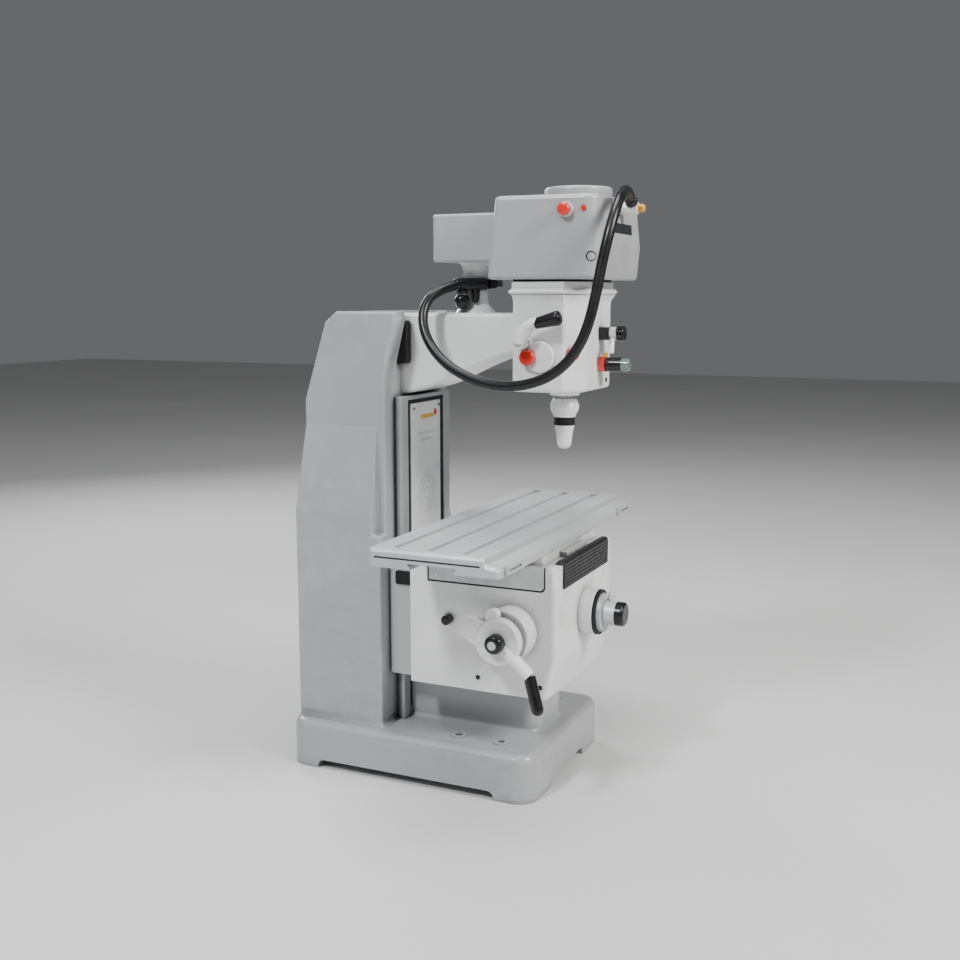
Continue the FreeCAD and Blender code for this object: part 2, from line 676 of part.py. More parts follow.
def head_buttons():
    middle, outward = button_axis()
    turn = Rotation(UP, outward)
    button = add("Part::Cylinder")
    button.Radius = 9
    button.Height = 6
    button.Placement = Placement(middle + outward * 2.4, turn)
    button = rounded(button, 1.5, both(is_round, lambda edge: (edge.BoundBox.Center - middle).Length > 5))
    stem = add("Part::Cylinder")
    stem.Radius = 4
    stem.Height = 11
    stem.Placement = Placement(middle - outward * 8, turn)
    node("start_button", fuse(button, stem))
    y, z = -221, 814.5
    face = -d.housing_half
    node("estop_collar", cut(rod("x", y, z, face - 2.5, face, 10.5), rod("x", y, z, -110, -80, 5.2)))
    dome = rounded(rod("x", y, z, face - 13, face - 6.5, 8.6), 4, beyond("x", -110, face - 12))
    node("estop_button", fuse(dome, rod("x", y, z, face - 7, face + 9, 5)))


def front_controls():
    y, z = d.head_front, d.clamp_z
    block = fuse(rounded(box(-2, 20, y - 14, y, z - 9, z + 9), 3, runs("y")),
                 rod("y", 9, z, y - 32, y - 13, 4),
                 rounded(rod("y", 9, z, y - 35, y - 25, 10.5), 2, beyond("y", -400, y - 34)))
    node("front_clamp", block)
    ring = cut(rod("y", 9, z, y - 24.7, y - 14.3, 9), rod("y", 9, z, y - 40, y, 4.3))
    lever = bar((3, y - 19.5, z - 6), (-9, y - 22, z - 24), 3)
    knob = ball(-9, y - 22, z - 24, 3.6)
    node("clamp_lever", cut(fuse(ring, lever, knob), rod("y", 9, z, y - 40, y, 4.3)))
    z = d.selector_z
    node("selector_collar", cut(rod("y", 4, z, y - 10, y, 10.5), rod("y", 4, z, y - 12, y + 1, 5.1)))
    body = rounded(rod("y", 4, z, y - 33, y - 10.3, 10), 2, beyond("y", y - 11, y - 10))
    node("selector_knob", fuse(body, rod("y", 4, z, y - 11, y - 1, 5)))
    node("selector_tip", rounded(rod("y", 4, z, y - 45, y - 33, 9), 3, beyond("y", -400, y - 44)))


# ---------------------------------------------------------------- knee


def knee():
    low, high, wall = d.knee_low, d.knee_top, d.knee_wall
    front, back = d.knee_front, d.knee_back
    side = [(back, low), (front + d.chin_in, low), (front, d.knee_chin), (front, high), (back, high)]
    block = prism("yz", side, -d.knee_half, d.knee_half)
    block = rounded(block, 8, both(lambda edge: edge.BoundBox.ZLength > 40, beyond("y", -400, -200)))
    jaws = wide(d.jaw_half, back - 5, d.jaw_back, low, high)
    jaws = rounded(jaws, 3, both(runs("z"), beyond("y", 40, 60)))
    rail = prism("xz", [(-40, high - 1), (-45, high + 8), (45, high + 8), (40, high - 1)],
                 front + 13, back)
    gap = d.fit_gap
    way = prism("xy", [
        (-d.way_half - gap, d.way_front - gap), (d.way_half + gap, d.way_front - gap),
        (d.way_half + gap, d.way_front + 5.1), (d.way_neck + 0.8, d.jaw_back + 0.5),
        (-d.way_neck - 0.8, d.jaw_back + 0.5), (-d.way_half - gap, d.way_front + 5.1)],
        low - 1, high + 10)
    cavity = prism("yz", [
        (back - wall, low - 1), (front + d.chin_in + wall, low - 1), (front + wall, d.knee_chin),
        (front + wall, high - wall), (back - wall, high - wall)], -d.knee_half + wall,
        d.knee_half - wall)
    rear_gate = wide(60, back - wall - 1, d.jaw_back + 1, low - 1, 228)
    slot = wide(14, -185, -45, high - wall - 1, high + 10)
    band = wide(94.4, front - 5, front + 11, 302, high + 1)
    shell = cut(fuse(block, jaws, rail), way, cavity, rear_gate, slot, band)
    bridge = wide(d.knee_half - wall, -142, -102, 258, 268)
    hanger = wide(20, -194, -186, 285, high - wall + 1)
    shell = fuse(shell, bridge, hanger)
    tools = [
        rod("z", 0, d.screw_y, 250, 275, d.screw_round + 0.1),
        rod("x", d.crank_y, d.crank_z, -d.knee_half - 1, -d.knee_half + wall + 1, 12),
        rod("y", 0, d.cross_z, front - 1, front + wall + 1, 12),
        rod("y", 0, d.cross_high, -195, -185, d.cross_round + 0.1),
        rod("x", -104, 166.5, -d.knee_half - 1, -d.knee_half + 4, 2.2),
    ]
    for hand in (-1, 1):
        pocket = aside(hand, d.knee_half - 4, d.knee_half + 1, -205.5, -24.5, 299.5, high + 1)
        tools.append(rounded(pocket, 8, both(runs("x"), at_height(299.5), beyond("y", -400, -100))))
    node("knee_casting", cut(shell, *tools))


def knee_trim():
    covers, seams, wipers = [], [], []
    for hand in (-1, 1):
        plate = aside(hand, d.knee_half - 4, d.knee_half - 0.5, -203, -27, 302, d.knee_top - 0.5)
        plate = rounded(plate, 6, both(runs("x"), at_height(302), beyond("y", -400, -100)))
        covers.append(plate)
        frame = aside(hand, d.knee_half - 4, d.knee_half - 1, -205.5, -24.5, 299.5, d.knee_top - 0.5)
        frame = rounded(frame, 8, both(runs("x"), at_height(299.5), beyond("y", -400, -100)))
        seams.append(cut(frame, plate))
        wipers.append(aside(hand, d.jaw_half, d.jaw_half + 3.5, 10, 38, 284, 304))
    node("knee_covers", group(*covers))
    band = wide(94, d.knee_front - 3, d.knee_front + 10.8, 302.3, 341)
    node("way_cover", rounded(band, 5, both(runs("x"), at_height(341))))
    y, z, half = d.crank_y, d.crank_z, d.knee_half
    gap = d.running_gap
    bearing = rounded(rod("x", y, z + 2, -half - 32, -half, d.bearing_round), 3,
                      beyond("x", -151, -149))
    sleeve = rod("x", y, z, -half, -half + 22, 11.9)
    node("crank_bearing", cut(fuse(bearing, sleeve), rod("x", y, z, -160, -80, d.shaft_round + gap)))
    front = d.knee_front
    boss = rounded(rod("y", 0, d.cross_z, front - 21, front, 34), 2, beyond("y", -400, front - 20))
    sleeve = rod("y", 0, d.cross_z, front, front + 14, 11.9)
    node("cross_bearing", cut(fuse(boss, sleeve), rod("y", 0, d.cross_z, -260, -190, 7 + gap)))
    ring = cut(rod("y", 0, d.cross_z, front - 25, front - 21, 33),
               rod("y", 0, d.cross_z, -260, -190, 12))
    wipers = [rounded(wiper, 3, runs("x")) for wiper in wipers]
    node("knee_seals", group(*seams, *wipers, ring))


def crank():
    y, z = d.crank_y, d.crank_z
    disc = rounded(rod("x", y, z, -172, -159, 33), 3, beyond("x", -173, -171))
    neck = rod("x", y, z, -160, -151, 24)
    lobe = fuse(rod("x", y + 9, z + 36, -169, -157, 9), box(-169, -157, y, y + 18, z, z + 36))
    rear = (-85, 264)
    rear_end = rod("x", *rear, -171, -160, 10)
    rear_arm = web((-171, -160), (float(y), float(z)), 24, rear, 9.5)
    near = (-203, 196)
    front_arm = bar((-166, y, z), (-168, *near), 9)
    hub_hole = rod("x", y, z, -190, -140, d.shaft_round)
    shape = cut(fuse(disc, neck, lobe, rear_end, rear_arm, front_arm), hub_hole)
    node("lift_crank", shape)
    knob = rounded(rod("x", *rear, -185, -171, 6.8), 2.5, beyond("x", -186, -184))
    tip = (-174, -217.5, 153.5)
    grip = fuse(bar((-168, *near), tip, 8.4), ball(*tip, 8.4))
    cap = rounded(rod("x", y, z, -187, -172, 13), 5, beyond("x", -188, -186))
    node("crank_grips", group(knob, grip, cut(cap, rod("x", y, z, -190, -170, 6))))
    shaft = fuse(rod("x", y, z, -172, -9, d.shaft_round), rod("x", y, z, -188.5, -172, 6),
                 rod("x", y, z, -10, 10, 17))
    node("crank_shaft", shaft)


def web(span, first, first_half, second, second_half):
    """A flat tapered arm in a YZ plane, between two points, from span[0] to span[1] along X."""
    a, b = Vector(0, *first), Vector(0, *second)
    along_arm = (b - a).normalize()
    across = Vector(0, -along_arm.z, along_arm.y)
    corners = [a + across * first_half, b + across * second_half, b - across * second_half,
               a - across * first_half]
    flat = Part.Face(Part.makePolygon(corners + corners[:1]))
    solid = flat.extrude(Vector(span[1] - span[0], 0, 0))
    solid.translate(Vector(span[0], 0, 0))
    return feature(solid)


def screws():
    y = d.screw_y
    node("lift_screw", turned("z", 0, y, [
        (56, 0), (56, 8), (228, 8), (228, 17), (248, 17), (248, 12), (257.7, 12), (257.7, 8),
        (275, 8), (275, 0)]))
    front = d.knee_front
    shaft = turned("y", 0, d.cross_z, [
        (-271, 0), (-271, 17.5), (front - 31, 17.5), (front - 31, 28), (front - 25.5, 28),
        (front - 25.5, 7), (-206.5, 7), (-206.5, 28), (-199, 28), (-199, 0)])
    node("cross_shaft", fuse(shaft, bar((12, -253.5, 262), (27, -253.5, 268), 5),
                             ball(27, -253.5, 268, 5.6)))
    cap = rounded(rod("y", 0, d.cross_z, -284, -271, 17.5), 4, beyond("y", -285, -283))
    node("cross_cap", cap)
    node("cross_screw", turned("y", 0, d.cross_high, [
        (-206, 0), (-206, 21.3), (-199, 21.3), (-199, 6), (-30, 6), (-30, 0)]))


# ---------------------------------------------------------------- saddle and table


def saddle():
    low, high = d.knee_top + 0.3, d.table_low - 0.3
    block = wide(d.saddle_half, d.saddle_front, d.saddle_back, low, high)
    block = rounded(block, 4, runs("z"))
    rail = prism("yz", [(-138, high - 1), (-143, high + 7.7), (-73, high + 7.7), (-78, high - 1)],
                 -d.saddle_half, d.saddle_half)
    groove = prism("xz", [(-40.7, low - 2), (-45.6, low + 8.1), (45.6, low + 8.1), (40.7, low - 2)],
                   -230, 0)
    node("saddle", cut(fuse(block, rail), groove))
    nut = wide(12, -125, -95, 286, low + 8.1)
    node("cross_nut", cut(nut, rod("y", 0, d.cross_high, -130, -90, d.cross_round + 0.1)))


def table():
    half, top, low = d.table_long / 2, d.table_top, d.table_low
    side = [
        (d.table_back, low), (d.table_back, top), (d.table_front, top), (d.table_front - 2, top - 9),
        (d.table_front - 16, top - 11), (d.ledge_front, top - 15), (d.ledge_front, low),
    ]
    slab = prism("yz", side, -half, half)
    slab = rounded(slab, 2, both(runs("x"), lambda edge: edge.BoundBox.ZMin > 355))
    slab = rounded(slab, 6, both(runs("z"), lambda edge: edge.BoundBox.ZLength > 5))
    tools = [prism("yz", [(-138, low - 2), (-143.75, low + 8), (-72.25, low + 8), (-78, low - 2)],
                   -half - 1, half + 1)]
    middle = (d.table_back + d.table_front) / 2
    for n in (-1, 0, 1):
        y = middle + d.slot_pitch * n
        end = half - 16
        tools.append(wide(end, y - d.slot_wide / 2, y + d.slot_wide / 2, top - 6, top + 1))
        tools.append(wide(end, y - d.tee_wide / 2, y + d.tee_wide / 2, top - 11, top - 5.5))
        tools.append(box(end - 24, end, y - d.tee_wide / 2, y + d.tee_wide / 2, top - 11, top + 1))
    for hand in (-1, 1):
        tools.append(aside(hand, half - 4, half + 1, -176, -24, 364.2, 366.6))
    node("table", cut(slab, *tools))
    dogs = []
    for hand in (-1, 1):
        dog = rounded(aside(hand, 204, 254, -208, -203, 354, 366), 1.5, runs("x"))
        slot = aside(hand, 210, 248, -209, -206, 358.5, 361.5)
        dogs.append(cut(dog, slot))
    node("stop_dogs", group(*dogs))


for build in (base_casting, column_casting, slideway, lift_nut, ram, head, housing, rear_box,
              post_clamp, hose_fitting, hose, drive, quill, feed_lever, head_buttons,
              front_controls, knee, knee_trim, crank, screws, saddle, table):
    build()

doc.recompute()
for thing in doc.Objects:
    if {"Invalid", "Error"} & set(thing.State):
        raise RuntimeError(f"{thing.Label} did not rebuild: {thing.State}")
for label, thing in nodes.items():
    shape = thing.Shape
    if shape.isNull() or not shape.isValid() or not shape.Solids:
        raise RuntimeError(f"{label} has no valid solid")
    shape.exportStep(f"parts/{label}.step")
print(len(nodes), "sub-parts written")
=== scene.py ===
"""Benchtop milling machine: materials, soft edges, small fittings, hose, light and camera."""

import math

import bmesh
import bpy
from mathutils import Matrix, Vector
from mathutils.geometry import interpolate_bezier

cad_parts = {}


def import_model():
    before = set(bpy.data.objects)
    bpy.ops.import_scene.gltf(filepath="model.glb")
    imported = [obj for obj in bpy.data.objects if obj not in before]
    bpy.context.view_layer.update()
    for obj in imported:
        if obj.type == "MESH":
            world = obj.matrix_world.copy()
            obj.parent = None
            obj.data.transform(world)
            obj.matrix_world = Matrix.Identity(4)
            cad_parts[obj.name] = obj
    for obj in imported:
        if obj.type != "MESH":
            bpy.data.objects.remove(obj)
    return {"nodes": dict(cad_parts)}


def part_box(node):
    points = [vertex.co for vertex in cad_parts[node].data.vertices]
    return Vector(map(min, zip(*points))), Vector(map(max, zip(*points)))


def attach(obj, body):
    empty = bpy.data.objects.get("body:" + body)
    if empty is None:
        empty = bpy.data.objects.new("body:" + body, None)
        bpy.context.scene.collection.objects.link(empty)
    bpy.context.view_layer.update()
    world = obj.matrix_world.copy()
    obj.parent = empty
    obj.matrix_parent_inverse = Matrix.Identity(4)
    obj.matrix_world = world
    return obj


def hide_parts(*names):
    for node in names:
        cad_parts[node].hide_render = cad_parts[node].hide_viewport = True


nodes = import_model()["nodes"]
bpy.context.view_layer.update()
scene = bpy.context.scene

# ---------------------------------------------------------------- camera

AZIMUTH, ELEVATION = math.radians(-65.589), math.radians(8.844)
CAMERA_PLACE = (-1.5783, -0.7701, 0.7)

backwards = Vector((
    math.sin(AZIMUTH) * math.cos(ELEVATION),
    -math.cos(AZIMUTH) * math.cos(ELEVATION),
    math.sin(ELEVATION),
))
camera_data = bpy.data.cameras.new("Camera")
camera_data.lens = 44.01
camera_data.sensor_width = 36
camera_data.clip_end = 30
camera = bpy.data.objects.new("Camera", camera_data)
scene.collection.objects.link(camera)
camera.location = CAMERA_PLACE
camera.rotation_mode = "QUATERNION"
camera.rotation_quaternion = (-backwards).to_track_quat("-Z", "Y")
scene.camera = camera

# ---------------------------------------------------------------- materials

# The Mix node has a set of sockets for each data type; these are the colour ones.
MIX_FIRST, MIX_SECOND, MIX_RESULT = 6, 7, 2
COAT_ROUGH = 0.12


class Graph:
    """A material's node tree, with short calls for the nodes used here."""

    def __init__(self, name):
        self.material = bpy.data.materials.new(name)
        self.material.use_nodes = True
        self.tree = self.material.node_tree
        self.shader = self.tree.nodes["Principled BSDF"]
        self.place = self.tree.nodes.new("ShaderNodeTexCoord").outputs["Object"]

    def link(self, output, socket):
        self.tree.links.new(output, socket)

    def drive(self, name, output):
        """Links an output to the shader's named input."""
        self.link(output, self.shader.inputs[name])

    def set(self, name, value):
        """Sets the shader's named input to a constant."""
        self.shader.inputs[name].default_value = value

    def mapped(self, stretch):
        node = self.tree.nodes.new("ShaderNodeMapping")
        node.inputs["Scale"].default_value = stretch
        self.link(self.place, node.inputs["Vector"])
        return node.outputs["Vector"]

    def noise(self, scale, detail=4.0, stretch=None):
        node = self.tree.nodes.new("ShaderNodeTexNoise")
        node.inputs["Scale"].default_value = scale
        node.inputs["Detail"].default_value = detail
        node.inputs["Roughness"].default_value = 0.55
        self.link(self.mapped(stretch) if stretch else self.place, node.inputs["Vector"])
        return node.outputs["Fac"]

    def ranged(self, value, low, high, to_low, to_high):
        node = self.tree.nodes.new("ShaderNodeMapRange")
        numbers = {"From Min": low, "From Max": high, "To Min": to_low, "To Max": to_high}
        for socket, number in numbers.items():
            node.inputs[socket].default_value = number
        self.link(value, node.inputs["Value"])
        return node.outputs["Result"]

    def mix(self, factor, first, second):
        """Blends two colours, each a tuple or another node's output."""
        node = self.tree.nodes.new("ShaderNodeMix")
        node.data_type = "RGBA"
        self.link(factor, node.inputs["Factor"])
        for socket, value in ((MIX_FIRST, first), (MIX_SECOND, second)):
            if isinstance(value, tuple):
                node.inputs[socket].default_value = (*value, 1)
            else:
                self.link(value, node.inputs[socket])
        return node.outputs[MIX_RESULT]

    def times(self, first, second):
        node = self.tree.nodes.new("ShaderNodeMath")
        node.operation = "MULTIPLY"
        self.link(first, node.inputs[0])
        self.link(second, node.inputs[1])
        return node.outputs[0]

    def bump(self, height, strength, distance, before=None):
        node = self.tree.nodes.new("ShaderNodeBump")
        node.inputs["Strength"].default_value = strength
        node.inputs["Distance"].default_value = distance
        self.link(height, node.inputs["Height"])
        if before is not None:
            self.link(before, node.inputs["Normal"])
        return node.outputs["Normal"]

    def edges(self, low, high):
        """1 on worn outer edges, 0 on flat faces."""
        node = self.tree.nodes.new("ShaderNodeNewGeometry")
        return self.ranged(node.outputs["Pointiness"], low, high, 0, 1)

    def painted_crevice_shade(self, base, dark, reach):
        """The base colour, darkened as painted shade in inner corners and gaps, by ambient occlusion."""
        node = self.tree.nodes.new("ShaderNodeAmbientOcclusion")
        node.samples = 8
        node.inputs["Distance"].default_value = reach
        return self.mix(self.ranged(node.outputs["AO"], 0.25, 0.9, 0.9, 0), base, dark)


def shade(colour, factor):
    return tuple(min(1.0, channel * factor) for channel in colour)


def enamel(name, colour, rough=0.36, coat=0.45, reach=0.013, grey_behind=None):
    """Sprayed machine enamel over a casting: orange peel, faint casting waves, painted shade in inner
    corners and rubbed edges.

    Where a (y, colour) pair is given, the casting takes that colour behind the plane at y.
    """
    g = Graph(name)
    cloud = g.ranged(g.noise(7, 5), 0.3, 0.7, 0, 1)
    base = g.mix(cloud, shade(colour, 0.93), shade(colour, 1.05))
    fleck = g.ranged(g.noise(260, 2), 0.68, 0.78, 0, 0.35)
    base = g.mix(fleck, base, shade(colour, 0.72))
    rubbed = g.times(g.edges(0.515, 0.56), g.ranged(g.noise(45, 5), 0.42, 0.62, 0, 0.55))
    base = g.mix(rubbed, base, shade(colour, 1.3))
    # Painted shade: inner corners and gaps darken towards a third of the colour.
    base = g.painted_crevice_shade(base, shade(colour, 0.32), reach)
    if grey_behind:
        split, behind_colour = grey_behind
        axes = g.tree.nodes.new("ShaderNodeSeparateXYZ")
        g.link(g.place, axes.inputs["Vector"])
        base = g.mix(g.ranged(axes.outputs["Y"], split, split + 0.0008, 0, 1), base, behind_colour)
    g.drive("Base Color", base)
    g.drive("Roughness", g.ranged(g.noise(22, 6), 0.3, 0.7, rough - 0.07, rough + 0.1))
    waves = g.bump(g.noise(38, 3), 0.12, 0.0012)
    g.drive("Normal", g.bump(g.noise(650, 3), 0.16, 0.0004, waves))
    g.set("Coat Weight", coat)
    g.set("Coat Roughness", COAT_ROUGH)
    return g.material


def ground_metal(name, colour, rough=0.3, metallic=1.0, stretch=(6, 260, 260)):
    """Machined metal with tool marks along one direction, oil haze and small nicks."""
    g = Graph(name)
    marks = g.noise(3.2, 6, stretch)
    haze = g.ranged(g.noise(11, 5), 0.32, 0.68, 0, 1)
    base = g.mix(haze, shade(colour, 0.88), shade(colour, 1.06))
    base = g.mix(g.ranged(marks, 0.35, 0.65, 0, 0.45), base, shade(colour, 0.82))
    # Painted shade: grooves and inner corners darken towards a quarter of the colour.
    g.drive("Base Color", g.painted_crevice_shade(base, shade(colour, 0.25), 0.006))
    g.drive("Roughness", g.ranged(marks, 0.3, 0.7, rough - 0.06, rough + 0.12))
    nicks = g.bump(g.ranged(g.noise(120, 2), 0.72, 0.8, 0, 1), 0.15, 0.0003)
    g.drive("Normal", g.bump(marks, 0.14, 0.0003, nicks))
    g.set("Metallic", metallic)
    return g.material


def moulded(name, colour, rough=0.4, grain=420, depth=0.25, coat=0.0, paler=1.6, gloss=0.5):
    """Moulded plastic or rubber: fine grain, handled sheen and scuffed edges."""
    g = Graph(name)
    base = g.mix(g.ranged(g.noise(30, 5), 0.3, 0.7, 0, 1), shade(colour, 0.85), shade(colour, 1.12))
    scuff = g.times(g.edges(0.51, 0.58), g.ranged(g.noise(90, 5), 0.4, 0.65, 0, 0.6))
    g.drive("Base Color", g.mix(scuff, base, shade(colour, paler)))
    g.drive("Roughness", g.ranged(g.noise(55, 5), 0.3, 0.7, rough - 0.07, rough + 0.12))
    g.drive("Normal", g.bump(g.noise(grain, 3), depth, 0.0003))
    g.set("Specular IOR Level", gloss)
    g.set("Coat Weight", coat)
    g.set("Coat Roughness", COAT_ROUGH)
    return g.material


def pleated(name, colour):
    """Ribbed rubber way cover: ridges that run across the machine, with a painted highlight on each ridge
    and painted shade in each fold.
    """
    g = Graph(name)
    wave = g.tree.nodes.new("ShaderNodeTexWave")
    wave.bands_direction = "Z"
    wave.inputs["Scale"].default_value = 62
    wave.inputs["Distortion"].default_value = 0.15
    g.link(g.place, wave.inputs["Vector"])
    ridge = wave.outputs["Fac"]
    # Painted highlight and shade: the colour follows the ridges, lighter on the crests and darker in the
    # folds.
    g.drive("Base Color", g.mix(ridge, shade(colour, 0.6), shade(colour, 1.5)))
    g.drive("Roughness", g.ranged(g.noise(80, 4), 0.3, 0.7, 0.42, 0.62))
    g.drive("Normal", g.bump(g.noise(500, 3), 0.2, 0.0003, g.bump(ridge, 0.6, 0.0012)))
    return g.material


GREY, WHITE = (0.37, 0.375, 0.385), (0.79, 0.795, 0.795)
# The flat grey that the knee's jaws take behind the plane at JAWS_FRONT.
JAW_GREY = (0.42, 0.425, 0.43)
JAWS_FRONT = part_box("knee_covers")[1].y + 0.0305

paint_grey = enamel("GreyEnamel", GREY)
paint_white = enamel("WhiteEnamel", WHITE, 0.3, 0.5)
panel_white = enamel("PanelEnamel", (0.55, 0.56, 0.57), 0.28, 0.5)
# The knee's wider reach carries the painted shade out under the crank, a painted shadow of the crank on the
# knee's side.
knee_white = enamel("KneeEnamel", WHITE, 0.3, 0.5, 0.022, (JAWS_FRONT, JAW_GREY))
iron = ground_metal("GroundIron", (0.60, 0.61, 0.625), 0.42, 0.35)
way_iron = ground_metal("SlidewayIron", (0.50, 0.51, 0.52), 0.34, 0.6, (220, 220, 5))
steel = ground_metal("TurnedSteel", (0.62, 0.63, 0.65), 0.24, 1.0, (240, 240, 30))
brass = ground_metal("Brass", (0.72, 0.52, 0.22), 0.3)
black = moulded("BlackHandle", (0.006, 0.006, 0.007), 0.28, 380, 0.2, 0.2, 3.0, 0.32)
rubber = moulded("BlackRubber", (0.009, 0.009, 0.01), 0.5, 520, 0.35, 0.0, 2.2, 0.3)
hose_rubber = moulded("HoseRubber", (0.008, 0.008, 0.009), 0.34, 300, 0.18, 0.1, 2.0, 0.35)
folded = pleated("PleatedRubber", (0.012, 0.012, 0.013))
red = moulded("RedPlastic", (0.68, 0.022, 0.012), 0.25, 240, 0.08, 0.6, 1.25)
pale = moulded("PaleCollar", (0.6, 0.61, 0.62), 0.35, 300, 0.1, 0.2, 1.2)
yellow = moulded("YellowPlastic", (0.72, 0.36, 0.02), 0.28, 260, 0.1, 0.5, 1.25)
window = moulded("DarkWindow", (0.012, 0.015, 0.02), 0.16, 60, 0.03, 0.4, 1.3, 0.4)
smoky = moulded("SmokyTip", (0.12, 0.17, 0.15), 0.16, 90, 0.05, 0.7, 1.5)

FINISHES = {
    paint_grey: "base_casting column_casting belt_housing rear_housing housing_cap",
    paint_white: "ram head_casting head_ring motor_post crank_bearing cross_bearing saddle "
                 "hose_elbow feed_lever lift_crank clamp_lever collet_nut tool_holder way_panel",
    panel_white: "knee_covers",
    knee_white: "knee_casting",
    iron: "table stop_dogs cross_shaft",
    way_iron: "column_way",
    steel: "spindle drawbar quill quill_bearings drive_pulley motor_pulley feed_pinion crank_shaft "
           "lift_screw cross_screw",
    brass: "lift_nut cross_nut",
    black: "crank_grips cross_cap feed_grip selector_knob clamp_knob motor_clamp front_clamp nose_ring",
    rubber: "column_seals housing_gasket knee_seals drive_belt coolant_hose",
    folded: "way_cover",
    red: "estop_button lock_knob start_button selector_collar indicator_lamps",
    pale: "estop_collar",
    yellow: "elbow_cap",
    window: "housing_window",
    smoky: "selector_tip",
}
for material, names in FINISHES.items():
    for name in names.split():
        mesh = nodes[name].data
        mesh.materials.clear()
        mesh.materials.append(material)

# Cast and machined edges are softened, wide on the castings and narrow on the machined parts.
SOFT_EDGES = {
    "column_casting": 0.0055, "base_casting": 0.003, "belt_housing": 0.0035, "rear_housing": 0.0025,
    "housing_cap": 0.001, "ram": 0.0015, "head_casting": 0.0018, "head_ring": 0.0012,
    "knee_casting": 0.002, "saddle": 0.0015, "table": 0.0008, "column_way": 0.0008,
    "way_panel": 0.0006, "crank_bearing": 0.001, "cross_bearing": 0.001, "lift_crank": 0.0016,
    "way_cover": 0.0008, "column_seals": 0.001, "motor_clamp": 0.0012, "front_clamp": 0.0008,
    "collet_nut": 0.0006, "tool_holder": 0.0006, "cross_shaft": 0.0006, "feed_lever": 0.0006,
    "knee_seals": 0.0005, "stop_dogs": 0.0004,
}
for name, width in SOFT_EDGES.items():
    part = nodes[name]
    weld = part.modifiers.new("Join", "WELD")
    weld.merge_threshold = 0.00002
    bevel = part.modifiers.new("SoftEdges", "BEVEL")
    bevel.width = width
    bevel.segments = 3
    bevel.limit_method = "ANGLE"
    bevel.angle_limit = math.radians(32)
    bevel.use_clamp_overlap = True
    part.modifiers.new("Normals", "WEIGHTED_NORMAL").keep_sharp = True

# ---------------------------------------------------------------- shapes for small fittings

LEFT, RIGHT, FRONT, UP = (-1, 0, 0), (1, 0, 0), (0, -1, 0), (0, 0, 1)
FULL_TURN, QUARTER_TURN = 2 * math.pi, math.pi / 2


def piece(name, bm, material, body, smooth=True):
    """Makes a finished mesh into an object that moves with a CAD body."""
    bmesh.ops.recalc_face_normals(bm, faces=bm.faces)
    mesh = bpy.data.meshes.new(name)
    bm.to_mesh(mesh)
    bm.free()
    if smooth:
        mesh.shade_smooth()
    mesh.materials.append(material)
    made = bpy.data.objects.new(name, mesh)
    scene.collection.objects.link(made)
    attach(made, body)
    return made


def frame_at(point, outward, across=None):
    """A matrix whose Z axis is outward and whose origin is point."""
    z = Vector(outward).normalized()
    x = Vector(across or (UP if abs(z.z) < 0.9 else RIGHT))
    x = (x - z * x.dot(z)).normalized()
    turn = Matrix((x, z.cross(x), z)).transposed().to_4x4()
    return Matrix.Translation(Vector(point)) @ turn


def loft(bm, rows, capped=True):
    """Skins closed loops of vertices, with a cap on each end or the last loop joined to the first."""
    for first, second in zip(rows, rows[1:] if capped else rows[1:] + rows[:1]):
        for n in range(len(first)):
            m = (n + 1) % len(first)
            bm.faces.new((first[n], first[m], second[m], second[n]))
    if capped:
        bm.faces.new(rows[0])
        bm.faces.new(rows[-1])


def circle(bm, matrix, radius, height, sides):
    """A round loop of vertices about the matrix's Z axis."""
    loop = []
    for n in range(sides):
        turn = FULL_TURN * n / sides
        place = Vector((radius * math.cos(turn), radius * math.sin(turn), height))
        loop.append(bm.verts.new(matrix @ place))
    return loop


def lathe(bm, profile, matrix, sides=40):
    """A turned shape from (radius, height) pairs about the matrix's Z axis."""
    loft(bm, [circle(bm, matrix, radius, height, sides) for radius, height in profile])


def tube(bm, points, radii, sides=28):
    """A round bent bar through the points, with a radius at each."""
    rows = []
    for n, (point, radius) in enumerate(zip(points, radii)):
        way = points[min(n + 1, len(points) - 1)] - points[max(n - 1, 0)]
        rows.append(circle(bm, frame_at(point, way, RIGHT), radius, 0, sides))
    loft(bm, rows)


def socket_screw(bm, point, outward, radius, height, sides=36):
    """A cap screw head with its hexagon socket."""
    matrix = frame_at(point, outward)
    chamfer = radius * 0.14
    outer = [(radius, -0.0004), (radius, height - chamfer), (radius - chamfer, height)]
    rows = [circle(bm, matrix, *ring, sides) for ring in outer]
    for depth in (height, height * 0.35):
        row = []
        for n in range(sides):
            turn = FULL_TURN * n / sides
            sector = (6 * n / sides) % 1 - 0.5
            reach = radius * 0.5 / math.cos(sector * math.pi / 3)
            place = Vector((reach * math.cos(turn), reach * math.sin(turn), depth))
            row.append(bm.verts.new(matrix @ place))
        rows.append(row)
    loft(bm, rows)


def screws(name, places, outward, radius, height, body):
    bm = bmesh.new()
    for point in places:
        socket_screw(bm, point, outward, radius, height)
    return piece(name, bm, steel, body, False)


def plate(bm, matrix, width, tall, thick, corner, steps=5):
    """A flat plate with round corners, centred on the matrix, standing thick off it, with an eased rim."""
    ease = min(thick * 0.45, 0.0005)
    rows = []
    for inset, height in ((0, -0.0003), (0, thick - ease), (ease * 0.35, thick - ease * 0.3), (ease, thick)):
        drawn_in = min(inset, corner * 0.9)
        radius, shift = corner - drawn_in, corner + inset - drawn_in
        row = []
        for quarter, (sx, sy) in enumerate(((1, 1), (-1, 1), (-1, -1), (1, -1))):
            for step in range(steps + 1):
                turn = QUARTER_TURN * (quarter + step / steps)
                row.append(bm.verts.new(matrix @ Vector((
                    sx * (width / 2 - shift) + radius * math.cos(turn),
                    sy * (tall / 2 - shift) + radius * math.sin(turn),
                    height))))
        rows.append(row)
    loft(bm, rows)


